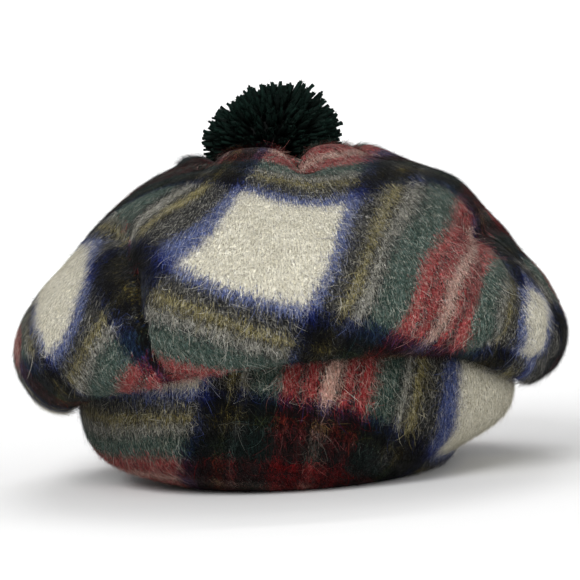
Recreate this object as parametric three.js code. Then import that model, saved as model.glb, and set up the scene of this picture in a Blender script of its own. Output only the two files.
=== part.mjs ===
import * as THREE from "three";

// Tam o' shanter: a full puffed crown, the under-crown ring that carries it down to the
// head opening, and a yarn pompom in the gathered dimple. Millimetres, +Z up, front at -Y.
// The origin is on the floor under the middle of the hat, the rim lies flat at z = 0.

// Driving sizes.
const CLOTH = 3.0;
const HEM_WIDTH = 6.0;
const POMPOM_RADIUS = 37.4;
const POMPOM_HEIGHT = 178.0;
const POMPOM_LUMP = 0.9;
const RIM_MIDDLE_X = 1.73;
const RIM_MIDDLE_Y = -1.37;
const DEGREE = Math.PI / 180;

// Gives a table's rows the names of its columns.
const named = (columns) => (row) => Object.fromEntries(columns.map((column, k) => [column, row[k]]));

// How finely the faceted walls are cut.
const CROWN_TURNS = 58;
const UNDER_TURNS = 48;
const POMPOM_TURNS = 24;
const POMPOM_RINGS = 14;
const FOLD_SAMPLES = 10;

// Crown sections from the seam, down round the soft lip, over the top and into the dimple.
// Each side gives the reach from the crown's middle and the height (z) there; shift moves
// the section's middle sideways, because the top has slumped a little to the left.
const CROWN_COLUMNS = [
  "name", "left", "left_z", "right", "right_z", "front", "front_z", "back", "back_z", "shift",
];
const CROWN_SECTIONS = [
  ["seam, inner", 107.8, 82.5, 107.8, 82.5, 112.8, 82.5, 112.8, 82.5, 0],
  ["seam, outer", 112.4, 82.5, 112.4, 82.5, 117.4, 82.6, 117.4, 82.5, 0],
  ["tuck", 119, 65, 119, 66, 121.8, 77.6, 124, 65, 0],
  ["tuck foot", 121.6, 47, 121.6, 50, 125.6, 73, 126.6, 47, 0],
  ["lip", 127, 39.8, 126.5, 41.5, 130.8, 69.6, 132, 40, 0],
  ["lip, outer", 134, 40.5, 133, 42.5, 136.4, 71, 139, 41.5, 0],
  ["lower lobe", 141.5, 45.5, 142, 48, 141.2, 75, 146, 47, 0],
  ["lobe", 147.5, 55, 147.5, 57, 145.5, 81.4, 150, 56.5, 0],
  ["lobe, full", 151.5, 64, 149.5, 67, 148, 88, 152, 67, 0],
  ["widest", 153, 74, 149, 75.5, 148.6, 95, 152.5, 77, 0],
  ["turn in", 149.6, 87, 146.6, 84, 146.4, 103, 150, 89, 0],
  ["slope, foot", 138.4, 105, 139.5, 98.5, 138.8, 115, 140, 104.5, 0],
  ["slope", 124.6, 119.6, 128, 113.5, 124.5, 130, 125, 121, 0],
  ["slope, top", 102, 142, 118, 129, 103.5, 146.5, 104, 142, -1],
  ["shoulder", 79, 158.5, 102, 149, 82, 161.5, 84, 158, -3],
  ["top", 55.5, 170.5, 74, 167, 62, 173, 62, 172, -4.5],
  ["crest", 46.5, 175.5, 47.5, 176.8, 47, 179, 47, 178.4, -4.7],
  ["dimple, brow", 41, 174.5, 41, 174, 41, 175.5, 41, 175, -4.7],
  ["dimple wall", 35, 159, 35, 159, 35, 159, 35, 159, -4.7],
  ["dimple", 20, 144, 20, 144, 20, 144, 20, 144, -4.7],
  ["dimple, middle", 0, 140.1, 0, 140.1, 0, 140.1, 0, 140.1, -4.7],
].map(named(CROWN_COLUMNS));

// Rows of the crown's grid, as positions along the section list.
const CROWN_ROWS = [
  0, 1, 2, 3, 3.5, 4, 4.5, 5, 6, 7, 8, 9, 10, 10.5, 11, 11.5, 12, 12.5, 13, 13.5, 14, 14.5, 15, 15.5,
  16, 16.5, 17, 17.5, 18, 18.5, 19, 19.5, 20,
];

// Folds pressed into the crown. A path runs over [turn, section], where turn 0 is the front
// and 90 the right; depth is how far the cloth sinks (a swell has a minus), half its
// half-width, and a power near 1 makes a sharp crease while 2 makes a soft hollow.
const FOLD_COLUMNS = ["name", "depth", "half", "power", "path"];
const CROWN_FOLDS = [
  ["left crease", 13, 9, 1.2, [[-80, 13.2], [-48, 12.4], [-36, 10.7], [-32, 7.7], [-30, 5.2]]],
  ["front panel swell", -4, 17, 2, [[-32, 12.7], [-20, 10.7], [-16, 7.7]]],
  ["left lobe swell", -4, 22, 2, [[-64, 9.6], [-62, 7.2]]],
  ["right pinch", 7, 8, 1.5, [[100, 13.2], [76, 13.1], [58, 12.8]]],
  ["pinch ray, front", 4.5, 8, 1.6, [[58, 12.8], [45, 10.5], [32, 6.8]]],
  ["pinch ray, middle", 4, 7, 1.6, [[66, 12.8], [58, 10.5], [49, 7]]],
  ["pinch ray, side", 4, 8, 1.6, [[74, 12.8], [74, 10.5], [71, 7.5]]],
  ["right shoulder swell", -4, 13, 2, [[84, 14.2], [58, 14.1]]],
  ["right lip crease", 5, 6, 1.4, [[44, 6.2], [60, 6.1], [80, 6.2]]],
  ["front dent", 3, 13, 2, [[10, 13.6], [30, 12.2]]],
  ["front gather", 11, 7, 1.3, [[14, 14.8], [14, 17]]],
  ["left front gather", 5, 7, 1.5, [[-40, 15.2], [-42, 17]]],
  ["right front gather", 5, 6, 1.5, [[62, 15.4], [64, 17]]],
  ["right gather", 6, 7, 1.4, [[108, 15], [106, 17]]],
  ["right back gather", 5, 7, 1.5, [[149, 15.2], [150, 17]]],
  ["back gather", 6, 7, 1.4, [[-166, 15], [-164, 17]]],
  ["left back gather", 5, 7, 1.5, [[-122, 15.1], [-124, 17]]],
  ["left gather", 5, 6, 1.5, [[-86, 15.3], [-84, 17]]],
  ["back right fold", 7, 10, 1.5, [[138, 13.6], [146, 10.5], [150, 7]]],
  ["back left fold", 8, 11, 1.5, [[-128, 13.4], [-138, 10.5], [-142, 6.6]]],
  ["back middle fold", 5, 11, 1.8, [[176, 12.8], [-178, 9]]],
  ["right side fold", 4.5, 9, 1.7, [[104, 12.2], [108, 9.6], [106, 7]]],
  ["left side fold", 4, 10, 1.8, [[-100, 12.4], [-96, 9.8], [-99, 7]]],
].map(named(FOLD_COLUMNS));

// The lip is lifted in two places, where the front was pushed up.
const LIP_LIFTS = [
  { turn: 38, half_turn: 24, level: 5, half_level: 3, lift: 7.5 },
  { turn: -60, half_turn: 20, level: 5, half_level: 3, lift: 5 },
];
// Folds fade out between these sections, so the seam and the dimple keep their shape.
const FOLD_FADE = { from: 4.2, full: 5.6, leave: 17.2, end: 18.6 };

// Under-crown sections from the rim up to the seam, outer face of the cloth.
const UNDER_SECTIONS = [
  { height: 0, half_width: 72, half_depth: 88 },
  { height: 4, half_width: 84, half_depth: 98 },
  { height: 11, half_width: 98.5, half_depth: 109.5 },
  { height: 19, half_width: 109.5, half_depth: 117 },
  { height: 28, half_width: 116, half_depth: 121.4 },
  { height: 40, half_width: 119, half_depth: 124 },
  { height: 55, half_width: 118.2, half_depth: 123 },
  { height: 69, half_width: 115.4, half_depth: 120.4 },
  { height: 82, half_width: 110.5, half_depth: 115.5 },
];
// Soft dents of the under-crown, by turn and height; a swell has a minus depth.
const UNDER_DENTS = [
  { turn: -72, height: 11, half_turn: 30, half_height: 13, depth: -3.5 },
  { turn: -58, height: 30, half_turn: 15, half_height: 20, depth: 2.6 },
  { turn: 8, height: 40, half_turn: 18, half_height: 22, depth: 2 },
  { turn: 52, height: 26, half_turn: 13, half_height: 18, depth: 2.4 },
  { turn: 74, height: 9, half_turn: 38, half_height: 13, depth: 10 },
  { turn: 128, height: 32, half_turn: 17, half_height: 20, depth: 3 },
  { turn: -150, height: 34, half_turn: 18, half_height: 22, depth: 2.6 },
];

const smooth = (low, high, value) => THREE.MathUtils.smoothstep(value, low, high);
const turnGap = (a, b) => ((a - b + 540) % 360) - 180;

// Mean distance between neighbouring sections, which spaces the spline.
const SPANS = CROWN_SECTIONS.slice(1).map((section, index) => {
  const before = CROWN_SECTIONS[index];
  const sides = ["left", "right", "front", "back"];
  const lengths = sides.map((side) => {
    const reach = section[side] - before[side];
    const rise = section[`${side}_z`] - before[`${side}_z`];
    return Math.hypot(reach, rise);
  });
  return lengths.reduce((sum, length) => sum + length, 0) / sides.length;
});

// A smooth curve through one column of the section list.
function along(column, level) {
  const last = CROWN_SECTIONS.length - 1;
  const index = Math.min(Math.floor(level), last - 1);
  const part = level - index;
  const value = (i) => CROWN_SECTIONS[Math.min(Math.max(i, 0), last)][column];
  const slope = (i) => {
    if (i === 0) return (value(1) - value(0)) / SPANS[0];
    if (i === last) return (value(last) - value(last - 1)) / SPANS[last - 1];
    const down = (value(i) - value(i - 1)) / SPANS[i - 1];
    const up = (value(i + 1) - value(i)) / SPANS[i];
    return (down * SPANS[i] + up * SPANS[i - 1]) / (SPANS[i] + SPANS[i - 1]);
  };
  const span = SPANS[index];
  const square = part * part;
  const cube = square * part;
  return (2 * cube - 3 * square + 1) * value(index)
    + (cube - 2 * square + part) * span * slope(index)
    + (3 * square - 2 * cube) * value(index + 1)
    + (cube - square) * span * slope(index + 1);
}

// The crown before its folds.
function crownBase(turn, level) {
  const s = Math.sin(turn * DEGREE);
  const c = Math.cos(turn * DEGREE);
  const side = s > 0 ? "right" : "left";
  const face = c > 0 ? "front" : "back";
  const reach = s * s * along(side, level) + c * c * along(face, level);
  const height = s * s * along(`${side}_z`, level) + c * c * along(`${face}_z`, level);
  const lifts = LIP_LIFTS.map((row) => {
    const turned = turnGap(turn, row.turn) / row.half_turn;
    const raised = (level - row.level) / row.half_level;
    return row.lift * Math.exp(-turned * turned - raised * raised);
  });
  const lift = smooth(1, 3, level) * lifts.reduce((sum, rise) => sum + rise, 0);
  const shift = along("shift", level);
  return new THREE.Vector3(shift + reach * s, -reach * c, height + lift);
}

// Outward direction of the crown before its folds.
function crownNormal(turn, level) {
  const last = CROWN_SECTIONS.length - 1;
  const step = 0.05;
  const across = crownBase(turn + 1, level).sub(crownBase(turn - 1, level));
  const above = crownBase(turn, Math.min(level + step, last));
  const up = above.sub(crownBase(turn, Math.max(level - step, 0)));
  if (across.length() < 1e-6) return new THREE.Vector3(0, 0, 1);
  return across.cross(up).normalize();
}

// Each fold's path laid over the crown as points.
const FOLD_LINES = CROWN_FOLDS.map((fold) => {
  const points = [];
  for (let i = 0; i + 1 < fold.path.length; i += 1) {
    const [turn, level] = fold.path[i];
    const turned = turnGap(fold.path[i + 1][0], turn);
    const raised = fold.path[i + 1][1] - level;
    for (let k = 0; k < FOLD_SAMPLES; k += 1) {
      points.push(crownBase(turn + (turned * k) / FOLD_SAMPLES, level + (raised * k) / FOLD_SAMPLES));
    }
  }
  const end = fold.path[fold.path.length - 1];
  points.push(crownBase(end[0], end[1]));
  return points;
});

// How far the folds push a point of the crown in.
function foldDepth(point, level) {
  const begun = smooth(FOLD_FADE.from, FOLD_FADE.full, level);
  const ended = smooth(FOLD_FADE.leave, FOLD_FADE.end, level);
  const sunk = CROWN_FOLDS.map((fold, index) => {
    const gap = Math.min(...FOLD_LINES[index].map((mark) => mark.distanceTo(point)));
    return fold.depth * Math.exp(-Math.pow(gap / fold.half, fold.power));
  });
  return begun * (1 - ended) * sunk.reduce((sum, depth) => sum + depth, 0);
}

function crownPoint(turn, level) {
  const base = crownBase(turn, level);
  return base.addScaledVector(crownNormal(turn, level), -foldDepth(base.clone(), level));
}

function underPoint(turn, row) {
  const section = UNDER_SECTIONS[row];
  const dents = UNDER_DENTS.map((dent) => {
    const turned = turnGap(turn, dent.turn) / dent.half_turn;
    const raised = (section.height - dent.height) / dent.half_height;
    return dent.depth * Math.exp(-turned * turned - raised * raised);
  });
  const free = smooth(0, 12, section.height) * (1 - smooth(45, 60, section.height));
  const sunk = free * dents.reduce((sum, depth) => sum + depth, 0);
  const x = (section.half_width - sunk) * Math.sin(turn * DEGREE);
  const y = -(section.half_depth - sunk) * Math.cos(turn * DEGREE);
  return new THREE.Vector3(x, y, section.height);
}

// Normals of a grid of rings, from the neighbours of every point; a ring is closed.
function ringNormals(rings) {
  return rings.map((ring, row) => ring.map((point, column) => {
    const count = ring.length;
    const up = rings[Math.min(row + 1, rings.length - 1)];
    const down = rings[Math.max(row - 1, 0)];
    const across = ring[(column + 1) % count].clone().sub(ring[(column + count - 1) % count]);
    const rise = up[column].clone().sub(down[column]);
    return across.cross(rise).normalize();
  }));
}

// Triangles of a band between two rings, outward when the second ring is further along.
function bandFaces(first, second, count) {
  const faces = [];
  for (let k = 0; k < count; k += 1) {
    const next = (k + 1) % count;
    faces.push(first + k, first + next, second + next, first + k, second + next, second + k);
  }
  return faces;
}

function solid(name, points, faces, material) {
  const geometry = new THREE.BufferGeometry();
  const numbers = points.flatMap((p) => [p.x, p.y, p.z]);
  geometry.setAttribute("position", new THREE.Float32BufferAttribute(numbers, 3));
  geometry.setIndex(faces);
  geometry.translate(RIM_MIDDLE_X, RIM_MIDDLE_Y, 0);
  geometry.computeVertexNormals();
  const mesh = new THREE.Mesh(geometry, material);
  mesh.name = name;
  return mesh;
}

const ringOf = (count, place) => Array.from({ length: count }, (_, k) => place((360 * k) / count));

function buildCrown() {
  const count = CROWN_TURNS;
  const rows = CROWN_ROWS.slice(0, -1);
  const outer = rows.map((level) => ringOf(count, (turn) => crownPoint(turn, level)));
  const pole = crownBase(0, CROWN_SECTIONS.length - 1);
  const normals = ringNormals([...outer, ringOf(count, () => pole)]);
  const inset = (p, row, k) => p.clone().addScaledVector(normals[row][k], -CLOTH);
  const inner = outer.map((ring, row) => ring.map((p, k) => inset(p, row, k)));
  const points = [...outer.flat(), pole, ...inner.flat(), pole.clone().setZ(pole.z - CLOTH)];
  const inside = outer.length * count + 1;
  const faces = [];
  for (let row = 0; row + 1 < outer.length; row += 1) {
    faces.push(...bandFaces(row * count, (row + 1) * count, count));
    faces.push(...bandFaces(inside + (row + 1) * count, inside + row * count, count));
  }
  const top = (outer.length - 1) * count;
  for (let k = 0; k < count; k += 1) {
    const next = (k + 1) % count;
    faces.push(top + k, top + next, inside - 1);
    faces.push(inside + top + next, inside + top + k, inside + outer.length * count);
  }
  faces.push(...bandFaces(inside, 0, count));
  const material = new THREE.MeshStandardMaterial({ color: 0x4f6258, roughness: 0.95, metalness: 0 });
  return solid("crown", points, faces, material);
}

function buildUnderCrown() {
  const count = UNDER_TURNS;
  const outer = UNDER_SECTIONS.map((_, row) => ringOf(count, (turn) => underPoint(turn, row)));
  const normals = ringNormals(outer);
  const inner = outer.map((ring, row) => ring.map((p, k) => {
    const flat = row === 0 || row === outer.length - 1;
    if (!flat) return p.clone().addScaledVector(normals[row][k], -CLOTH);
    const inset = row === 0 ? HEM_WIDTH : CLOTH;
    const inward = new THREE.Vector3(-p.x, -p.y, 0).normalize();
    return p.clone().addScaledVector(inward, inset);
  }));
  const hem = outer[0].map((p) => {
    const inward = new THREE.Vector3(-p.x, -p.y, 0).normalize();
    return p.clone().addScaledVector(inward, HEM_WIDTH).setZ(CLOTH);
  });
  inner.splice(1, 0, hem);
  const points = [...outer.flat(), ...inner.flat()];
  const inside = outer.length * count;
  const faces = [];
  for (let row = 0; row + 1 < outer.length; row += 1) {
    faces.push(...bandFaces(row * count, (row + 1) * count, count));
  }
  for (let row = 0; row + 1 < inner.length; row += 1) {
    faces.push(...bandFaces(inside + (row + 1) * count, inside + row * count, count));
  }
  faces.push(...bandFaces(inside, 0, count));
  faces.push(...bandFaces((outer.length - 1) * count, inside + (inner.length - 1) * count, count));
  const material = new THREE.MeshStandardMaterial({ color: 0x3f5148, roughness: 0.95, metalness: 0 });
  return solid("under_crown", points, faces, material);
}

function buildPompom() {
  const middle = new THREE.Vector3(CROWN_SECTIONS.at(-1).shift, 0, POMPOM_HEIGHT);
  const place = (turn, rise) => {
    const lump = POMPOM_LUMP * Math.sin(3 * turn + 2 * rise) * Math.cos(2 * turn - 5 * rise);
    const radius = POMPOM_RADIUS + lump * smooth(0, 0.5, rise);
    const flat = Math.cos(rise);
    const way = new THREE.Vector3(flat * Math.sin(turn), -flat * Math.cos(turn), Math.sin(rise));
    return middle.clone().addScaledVector(way, radius);
  };
  const count = POMPOM_TURNS;
  const points = [];
  for (let row = 1; row < POMPOM_RINGS; row += 1) {
    const rise = Math.PI * (row / POMPOM_RINGS - 0.5);
    points.push(...ringOf(count, (turn) => place(turn * DEGREE, rise)));
  }
  const bottom = points.length;
  points.push(middle.clone().setZ(POMPOM_HEIGHT - POMPOM_RADIUS));
  points.push(middle.clone().setZ(POMPOM_HEIGHT + POMPOM_RADIUS));
  const faces = [];
  for (let row = 0; row + 2 < POMPOM_RINGS; row += 1) {
    faces.push(...bandFaces(row * count, (row + 1) * count, count));
  }
  const last = (POMPOM_RINGS - 2) * count;
  for (let k = 0; k < count; k += 1) {
    const next = (k + 1) % count;
    faces.push(next, k, bottom);
    faces.push(last + k, last + next, bottom + 1);
  }
  const material = new THREE.MeshStandardMaterial({ color: 0x0d2a20, roughness: 1, metalness: 0 });
  return solid("pompom", points, faces, material);
}

const hat = new THREE.Group();
hat.name = "tam_o_shanter";
hat.add(buildCrown());
hat.add(buildUnderCrown());
hat.add(buildPompom());

export default hat;
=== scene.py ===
import math

import bpy
import numpy as np
from mathutils import Matrix, Vector


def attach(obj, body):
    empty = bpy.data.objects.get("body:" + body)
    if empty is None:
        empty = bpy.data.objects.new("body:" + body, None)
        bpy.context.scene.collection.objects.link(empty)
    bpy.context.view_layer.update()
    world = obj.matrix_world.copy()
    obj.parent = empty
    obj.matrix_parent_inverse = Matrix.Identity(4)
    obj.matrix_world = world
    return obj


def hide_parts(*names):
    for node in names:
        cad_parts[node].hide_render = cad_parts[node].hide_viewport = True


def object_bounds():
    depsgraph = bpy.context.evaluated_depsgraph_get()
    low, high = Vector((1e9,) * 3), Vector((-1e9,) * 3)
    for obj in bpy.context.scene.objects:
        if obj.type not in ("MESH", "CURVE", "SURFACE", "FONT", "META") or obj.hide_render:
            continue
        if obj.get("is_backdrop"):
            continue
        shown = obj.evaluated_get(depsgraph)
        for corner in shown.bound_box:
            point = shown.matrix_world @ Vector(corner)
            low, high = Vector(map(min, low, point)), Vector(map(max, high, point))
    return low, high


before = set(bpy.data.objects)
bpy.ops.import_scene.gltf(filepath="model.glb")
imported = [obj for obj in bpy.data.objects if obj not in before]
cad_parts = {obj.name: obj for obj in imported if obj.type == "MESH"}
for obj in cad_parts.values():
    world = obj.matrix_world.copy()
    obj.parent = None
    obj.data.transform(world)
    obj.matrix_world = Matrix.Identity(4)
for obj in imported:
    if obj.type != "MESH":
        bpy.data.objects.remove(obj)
cad_bounds = [list(corner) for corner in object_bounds()]

# The studio: a pale paper sweep that the hat stands on, a broad soft light over the camera's
# left shoulder with a weaker one at the right, and the camera at the photo's height. The
# camera leans a little, because the hat in the photo sits lower at its left.
RIM_MIDDLE = np.array([1.73, -1.37, 0.0])
CAMERA = {"aim": (0.0017, -0.0014, 0.0997), "away": 1.5, "rise": 3.0, "lean": -3.6, "frame": 0.319}
SWEEP = {"front": -5.0, "bend": 3.0, "radius": 1.2, "top": 4.5, "half": 5.5}
SKY_STRENGTH = 0.42

bpy.ops.object.select_all(action="DESELECT")
bpy.ops.mesh.primitive_grid_add(x_subdivisions=2, y_subdivisions=60, size=1)
sweep = bpy.context.object
sweep.name = "sweep"
for vertex in sweep.data.vertices:
    run = (vertex.co.y + 0.5) * 3
    flat = min(run, 1.0)
    angle = min(max(run - 1.0, 0.0), 1.0) * math.pi / 2
    up = max(run - 2.0, 0.0)
    deep = SWEEP["front"] + flat * (SWEEP["bend"] - SWEEP["front"]) + SWEEP["radius"] * math.sin(angle)
    high = SWEEP["radius"] * (1 - math.cos(angle)) + up * (SWEEP["top"] - SWEEP["radius"])
    vertex.co = (vertex.co.x * 2 * SWEEP["half"], deep, high)
bpy.ops.object.shade_smooth()
paper = bpy.data.materials.new("sweep_paper")
paper.use_nodes = True
paper_shader = paper.node_tree.nodes["Principled BSDF"]
paper_shader.inputs["Base Color"].default_value = (0.82, 0.82, 0.82, 1)
paper_shader.inputs["Roughness"].default_value = 0.9
paper_shader.inputs["Specular IOR Level"].default_value = 0.1
sweep.data.materials.append(paper)
sweep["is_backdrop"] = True

LIGHTS = [
    ("key", (-0.7, -1.55, 1.25), (0, 0, 0.09), 1.1, 33.0),
    ("fill", (1.2, -1.6, 0.5), (0, 0, 0.09), 1.4, 16.0),
    ("top", (0.0, 0.7, 1.8), (0, 0, 0.09), 1.6, 6.0),
    ("wall", (0.0, 1.6, 2.6), (0, 3.9, 0.5), 2.0, 90.0),
]
for name, place, toward, size, watts in LIGHTS:
    bpy.ops.object.light_add(type="AREA", location=place)
    light = bpy.context.object
    light.name = name
    light.data.shape = "DISK"
    light.data.size = size
    light.data.energy = watts
    light.rotation_euler = (Vector(toward) - Vector(place)).to_track_quat("-Z", "Y").to_euler()
    light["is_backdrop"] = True

world = bpy.data.worlds.new("studio")
bpy.context.scene.world = world
world.use_nodes = True
world.node_tree.nodes["Background"].inputs["Color"].default_value = (1, 1, 1, 1)
world.node_tree.nodes["Background"].inputs["Strength"].default_value = SKY_STRENGTH

rise = math.radians(CAMERA["rise"])
aim = Vector(CAMERA["aim"])
back = Vector((0, -math.cos(rise), math.sin(rise)))
bpy.ops.object.camera_add(location=aim + back * CAMERA["away"])
camera = bpy.context.object
camera.data.lens = camera.data.sensor_width * CAMERA["away"] / CAMERA["frame"]
look = (-back).to_track_quat("-Z", "Y").to_matrix()
camera.rotation_euler = (look @ Matrix.Rotation(math.radians(CAMERA["lean"]), 3, "Z")).to_euler()
bpy.context.scene.camera = camera
bpy.context.scene.view_settings.view_transform = "Standard"

# The crown: one big circle of brushed wool tartan, gathered at its edge into the seam and
# drawn down at its middle under the pompom. It has slumped over the seam in soft lobes, with
# a deep tuck at the left of the front and a pinch at the right.
SECTION_COLUMNS = ("left", "left_z", "right", "right_z", "front", "front_z", "back", "back_z", "shift")
CROWN_SECTIONS = [
    ("seam, inner", 107.8, 82.5, 107.8, 82.5, 112.8, 82.5, 112.8, 82.5, 0),
    ("seam, outer", 112.4, 82.5, 112.4, 82.5, 117.4, 82.6, 117.4, 82.5, 0),
    ("tuck", 119, 65, 119, 66, 121.8, 77.6, 124, 65, 0),
    ("tuck foot", 121.6, 47, 121.6, 50, 125.6, 73, 126.6, 47, 0),
    ("lip", 127, 39.8, 126.5, 41.5, 130.8, 69.6, 132, 40, 0),
    ("lip, outer", 134, 40.5, 133, 42.5, 136.4, 71, 139, 41.5, 0),
    ("lower lobe", 141.5, 45.5, 142, 48, 141.2, 75, 146, 47, 0),
    ("lobe", 147.5, 55, 147.5, 57, 145.5, 81.4, 150, 56.5, 0),
    ("lobe, full", 151.5, 64, 149.5, 67, 148, 88, 152, 67, 0),
    ("widest", 153, 74, 149, 75.5, 148.6, 95, 152.5, 77, 0),
    ("turn in", 149.6, 87, 146.6, 84, 146.4, 103, 150, 89, 0),
    ("slope, foot", 138.4, 105, 139.5, 98.5, 138.8, 115, 140, 104.5, 0),
    ("slope", 124.6, 119.6, 128, 113.5, 124.5, 130, 125, 121, 0),
    ("slope, top", 102, 142, 118, 129, 103.5, 146.5, 104, 142, -1),
    ("shoulder", 79, 158.5, 102, 149, 82, 161.5, 84, 158, -3),
    ("top", 55.5, 170.5, 74, 167, 62, 173, 62, 172, -4.5),
    ("crest", 46.5, 175.5, 47.5, 176.8, 47, 179, 47, 178.4, -4.7),
    ("dimple, brow", 41, 174.5, 41, 174, 41, 175.5, 41, 175, -4.7),
    ("dimple wall", 35, 159, 35, 159, 35, 159, 35, 159, -4.7),
    ("dimple", 20, 144, 20, 144, 20, 144, 20, 144, -4.7),
    ("dimple, middle", 0, 140.1, 0, 140.1, 0, 140.1, 0, 140.1, -4.7),
]
LIFT_COLUMNS = ("turn", "half_turn", "level", "half_level", "lift")
LIP_LIFTS = [(38, 24, 5, 3, 7.5), (-60, 20, 5, 3, 5)]
CREASE_PATH = [(-64, 12.9), (-52, 12.7), (-39, 11.7), (-35.5, 10.9), (-31.5, 9.5), (-31, 7.4), (-30, 5.2)]
SLIT_PATH = CREASE_PATH[2:]
FOLD_COLUMNS = ("depth", "half", "power", "path")
CROWN_FOLDS = [
    ("left crease", 7, 9, 1.3, CREASE_PATH),
    ("left crease, slit", 6, 1.8, 1.2, SLIT_PATH),
    ("front panel swell", -4, 17, 2, [(-32, 12.7), (-20, 10.7), (-16, 7.7)]),
    ("left lobe swell", -4, 22, 2, [(-64, 9.6), (-62, 7.2)]),
    ("right pinch", 6, 8, 1.5, [(79, 13.1), (58, 12.8)]),
    ("pinch ray, front", 4.5, 8, 1.6, [(58, 12.8), (45, 10.5), (32, 6.8)]),
    ("pinch ray, middle", 4, 7, 1.6, [(66, 12.8), (58, 10.5), (49, 7)]),
    ("pinch ray, side", 4, 8, 1.6, [(74, 12.8), (74, 10.5), (71, 7.5)]),
    ("right shoulder swell", -2.5, 13, 2, [(84, 14.2), (58, 14.1)]),
    ("right lip crease", 5, 6, 1.4, [(44, 6.2), (60, 6.1), (80, 6.2)]),
    ("front dent", 3, 13, 2, [(10, 13.6), (30, 12.2)]),
    ("front gather", 11, 7, 1.3, [(14, 14.8), (14, 17)]),
    ("left front gather", 5, 7, 1.5, [(-40, 15.2), (-42, 17)]),
    ("right front gather", 5, 6, 1.5, [(62, 15.4), (64, 17)]),
    ("right gather", 6, 7, 1.4, [(108, 15), (106, 17)]),
    ("right back gather", 5, 7, 1.5, [(149, 15.2), (150, 17)]),
    ("back gather", 6, 7, 1.4, [(-166, 15), (-164, 17)]),
    ("left back gather", 5, 7, 1.5, [(-122, 15.1), (-124, 17)]),
    ("left gather", 5, 6, 1.5, [(-86, 15.3), (-84, 17)]),
    ("back right fold", 7, 10, 1.5, [(138, 13.6), (146, 10.5), (150, 7)]),
    ("back left fold", 8, 11, 1.5, [(-128, 13.4), (-138, 10.5), (-142, 6.6)]),
    ("back middle fold", 5, 11, 1.8, [(176, 12.8), (-178, 9)]),
    ("right side fold", 4.5, 9, 1.7, [(104, 12.2), (108, 9.6), (106, 7)]),
    ("left side fold", 4, 10, 1.8, [(-100, 12.4), (-96, 9.8), (-99, 7)]),
]
FOLD_STARTS, FOLD_ENDS = (4.2, 5.6), (17.2, 18.6)
RIPPLE_ENDS = (15.5, 16.5)
RIPPLE_DEEP = 0.35
# Painted shade along the crease's slit: how much it darkens the cloth, and its half width in millimetres.
CREASE_PAINTED_SHADE, CREASE_PAINTED_SHADE_HALF = 0.8, 1.7
CLOTH = 3.0
CROWN_ROUND = 130.0
CROWN_GRID = {"turns": 260, "rows": 116, "crowd": 0.45}

last = len(CROWN_SECTIONS) - 1
section = {c: np.array([row[k + 1] for row in CROWN_SECTIONS], float) for k, c in enumerate(SECTION_COLUMNS)}
spans = np.mean(
    [np.hypot(np.diff(section[s]), np.diff(section[s + "_z"])) for s in ("left", "right", "front", "back")],
    axis=0,
)
slope = {}
for column, values in section.items():
    step = np.diff(values) / spans
    middle = (step[:-1] * spans[1:] + step[1:] * spans[:-1]) / (spans[1:] + spans[:-1])
    slope[column] = np.concatenate([step[:1], middle, step[-1:]])


def along(column, level):
    """A column's value at a level, on a smooth curve through the sections."""
    i = np.clip(np.floor(level).astype(int), 0, last - 1)
    t = level - i
    v, m, h = section[column], slope[column], spans[i]
    ends = (2 * t**3 - 3 * t**2 + 1) * v[i] + (3 * t**2 - 2 * t**3) * v[i + 1]
    return ends + h * ((t**3 - 2 * t**2 + t) * m[i] + (t**3 - t**2) * m[i + 1])


def smooth(low, high, value):
    """An eased step, from 0 at low to 1 at high."""
    t = np.clip((value - low) / (high - low), 0, 1)
    return t * t * (3 - 2 * t)


def turn_gap(a, b):
    """The shorter way round from turn b to turn a, in degrees."""
    return (a - b + 540) % 360 - 180


def crown_base(turn, level):
    """The unfolded crown, by degrees round from the front and level up the sections."""
    turn, level = np.broadcast_arrays(np.asarray(turn, float), np.asarray(level, float))
    s, c = np.sin(np.radians(turn)), np.cos(np.radians(turn))
    mixed = []
    for kind in ("", "_z"):
        side = np.where(s > 0, along("right" + kind, level), along("left" + kind, level))
        face = np.where(c > 0, along("front" + kind, level), along("back" + kind, level))
        mixed.append(s * s * side + c * c * face)
    lift = 0
    for row in LIP_LIFTS:
        lip = dict(zip(LIFT_COLUMNS, row))
        turned = turn_gap(turn, lip["turn"]) / lip["half_turn"]
        raised = (level - lip["level"]) / lip["half_level"]
        lift = lift + lip["lift"] * np.exp(-(turned**2) - raised**2)
    high = mixed[1] + lift * smooth(1, 3, level)
    return np.stack([along("shift", level) + mixed[0] * s, -mixed[0] * c, high], -1)


def crown_normal(turn, level):
    """The way straight out of the unfolded crown."""
    across = crown_base(turn + 1, level) - crown_base(turn - 1, level)
    up = crown_base(turn, np.minimum(level + 0.05, last)) - crown_base(turn, np.maximum(level - 0.05, 0))
    way = np.cross(across, up)
    size = np.linalg.norm(way, axis=-1, keepdims=True)
    return np.where(size > 1e-6, way / np.maximum(size, 1e-9), (0, 0, 1))


def fold_line(path, samples=16, deep=0.0):
    """Points along a fold's path, on the unfolded crown or so deep in it."""
    marks = []
    for (turn, level), (turn_next, level_next) in zip(path, path[1:]):
        part = np.arange(samples + 1) / samples
        turns = turn + turn_gap(turn_next, turn) * part
        levels = level + (level_next - level) * part
        marks.append(crown_base(turns, levels) - deep * crown_normal(turns, levels))
    return np.concatenate(marks)


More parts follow.
